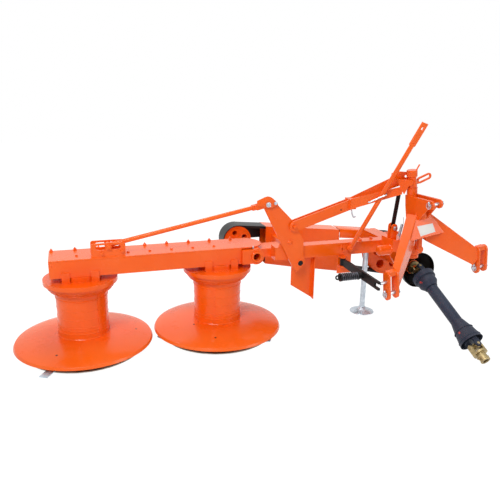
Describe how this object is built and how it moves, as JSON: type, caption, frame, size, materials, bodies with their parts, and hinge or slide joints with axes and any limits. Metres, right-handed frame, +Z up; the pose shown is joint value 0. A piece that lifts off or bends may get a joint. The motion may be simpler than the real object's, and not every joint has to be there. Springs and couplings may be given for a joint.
{
  "type": "two-drum rotary drum mower",
  "caption": "Mounted drum mower: drums with wide discs under a long beam, belt drive, swing frame with three-point headstock, stand and guarded drive shaft.",
  "frame": {"origin": "on the floor under the axis of the outer drum", "axes": "+X along the cutter beam towards the headstock, +Y to the rear (the tractor stands towards -Y), +Z up"},
  "size_m": [2.8399, 1.2099, 1.4017],
  "materials": {
    "orange_paint": "glossy orange paint on welded steel",
    "worn_steel": "bare steel worn by the ground",
    "knife_steel": "bright hardened blade steel",
    "black_cover": "black moulded cover",
    "belt_rubber": "black belt rubber",
    "black_paint": "black painted steel",
    "zinc_steel": "zinc plated steel",
    "guard_plastic": "dark slate grey plastic guard over steel",
    "yellow_zinc": "yellow passivated forged steel"
  },
  "bodies": {
    "headstock": {"post": "orange_paint", "mast_sleeve": "orange_paint", "near_leg": "orange_paint", "far_leg": "orange_paint", "near_clevis": "orange_paint", "far_clevis": "orange_paint", "near_hitch_pin": "zinc_steel", "far_hitch_pin": "zinc_steel", "gusset": "orange_paint", "mast_ears": "orange_paint", "top_pin": "zinc_steel", "catch_pin": "zinc_steel"},
    "main_frame": {"hinge_knuckle": "orange_paint", "front_beam": "orange_paint", "swivel_bush": "orange_paint", "rear_arm": "orange_paint", "input_housing": "orange_paint", "cross_arm": "orange_paint", "belt_housing": "orange_paint", "belt_hood": "black_cover", "belts": "belt_rubber", "skirt_plate": "orange_paint", "crank_plate": "orange_paint", "crank_lug": "orange_paint", "boom": "orange_paint", "boom_collar": "orange_paint", "lock_loop": "orange_paint", "tie_bar": "black_paint", "tie_lug": "orange_paint", "strut_bracket": "orange_paint", "catch_bracket": "orange_paint", "inner_yoke": "yellow_zinc", "shaft_bowl": "black_cover"},
    "cutter_beam": {"beam_box": "orange_paint", "beam_cover": "orange_paint", "hinge_bosses": "orange_paint", "rod_bracket": "orange_paint", "outer_top_shield": "orange_paint", "inner_top_shield": "orange_paint"},
    "lift_rod": {"pull_rod": "orange_paint"},
    "outer_rotor": {"outer_disc": "orange_paint", "outer_drum": "orange_paint", "outer_knives": "knife_steel"},
    "inner_rotor": {"inner_disc": "orange_paint", "inner_drum": "orange_paint", "inner_knives": "knife_steel"},
    "outer_skid": {"outer_saucer": "worn_steel"},
    "inner_skid": {"inner_saucer": "worn_steel"},
    "belt_pulley": {"driven_pulley": "orange_paint"},
    "input_pulley": {"drive_pulley": "orange_paint"},
    "parking_stand": {"stand": "zinc_steel"},
    "transport_strut": {"strut": "orange_paint"},
    "transport_catch": {"catch_bar": "black_paint", "catch_spring": "black_paint"},
    "shaft_cross_rear": {"rear_cross": "yellow_zinc"},
    "shaft_rear": {"shaft_rear_half": "guard_plastic"},
    "shaft_front": {"shaft_front_half": "guard_plastic"},
    "shaft_cross_front": {"front_cross": "yellow_zinc"},
    "tractor_yoke": {"end_yoke": "yellow_zinc"}
  },
  "joints": [
    {"name": "frame_swing", "type": "hinge", "parent": "headstock", "child": "main_frame", "pos_m": [2.02128, -0.31728, 0.4774], "axis": [0.1167, 0.0143, -0.9931], "range_deg": [0, 75]},
    {"name": "beam_tilt", "type": "hinge", "parent": "main_frame", "child": "cutter_beam", "pos_m": [1.035, 0, 0.58], "axis": [0, 1, 0], "range_deg": [-10, 8]},
    {"name": "rod_swing", "type": "hinge", "parent": "main_frame", "child": "lift_rod", "pos_m": [1.084, -0.164, 0.911], "axis": [0, 1, 0], "range_deg": [-9.5, 7.6]},
    {"name": "outer_spin", "type": "hinge", "parent": "cutter_beam", "child": "outer_rotor", "pos_m": [0, 0, 0.3], "axis": [0, 0, 1], "continuous": true},
    {"name": "inner_spin", "type": "hinge", "parent": "cutter_beam", "child": "inner_rotor", "pos_m": [0.82, 0, 0.3], "axis": [0, 0, 1], "continuous": true},
    {"name": "belt_pulley_spin", "type": "hinge", "parent": "main_frame", "child": "belt_pulley", "pos_m": [1.035, 0.328, 0.58], "axis": [0, 1, 0], "continuous": true},
    {"name": "input_pulley_spin", "type": "hinge", "parent": "main_frame", "child": "input_pulley", "pos_m": [2.208, 0.328, 0.393], "axis": [0, 1, 0], "continuous": true},
    {"name": "outer_skid_spin", "type": "hinge", "parent": "cutter_beam", "child": "outer_skid", "pos_m": [0, 0, 0.05], "axis": [0, 0, 1], "continuous": true},
    {"name": "inner_skid_spin", "type": "hinge", "parent": "cutter_beam", "child": "inner_skid", "pos_m": [0.82, 0, 0.05], "axis": [0, 0, 1], "continuous": true},
    {"name": "stand_slide", "type": "slide", "parent": "main_frame", "child": "parking_stand", "axis": [0, 0, 1], "range_m": [0, 0.25]},
    {"name": "strut_swing", "type": "hinge", "parent": "main_frame", "child": "transport_strut", "pos_m": [1.648, -0.174, 0.597], "axis": [0, 1, 0], "range_deg": [-40, 0]},
    {"name": "catch_swing", "type": "hinge", "parent": "main_frame", "child": "transport_catch", "pos_m": [1.6, -0.176, 0.515], "axis": [0, 0, -1], "range_deg": [0, 25]},
    {"name": "shaft_lift", "type": "hinge", "parent": "main_frame", "child": "shaft_cross_rear", "pos_m": [2.208, -0.12, 0.393], "axis": [-1, 0, 0], "range_deg": [0, 25]},
    {"name": "shaft_turn", "type": "hinge", "parent": "shaft_cross_rear", "child": "shaft_rear", "pos_m": [2.208, -0.12, 0.393], "axis": [0, -0.4769, 0.8789], "range_deg": [-15, 15]},
    {"name": "shaft_slide", "type": "slide", "parent": "shaft_rear", "child": "shaft_front", "axis": [0.0747, -0.8765, -0.4756], "range_m": [0, 0.15]},
    {"name": "yoke_turn", "type": "hinge", "parent": "shaft_front", "child": "shaft_cross_front", "pos_m": [2.2577, -0.70286, 0.07672], "axis": [0, -0.4769, 0.8789], "range_deg": [-20, 20]},
    {"name": "yoke_lift", "type": "hinge", "parent": "shaft_cross_front", "child": "tractor_yoke", "pos_m": [2.2577, -0.70286, 0.07672], "axis": [-0.9972, -0.0657, -0.0356], "range_deg": [0, 25]}
  ],
  "couplings": [
    {"joint": "rod_swing", "follows": "beam_tilt", "ratio": 0.945},
    {"joint": "inner_spin", "follows": "outer_spin", "ratio": -1},
    {"joint": "belt_pulley_spin", "follows": "outer_spin", "ratio": 0.517},
    {"joint": "input_pulley_spin", "follows": "outer_spin", "ratio": 0.2995}
  ]
}
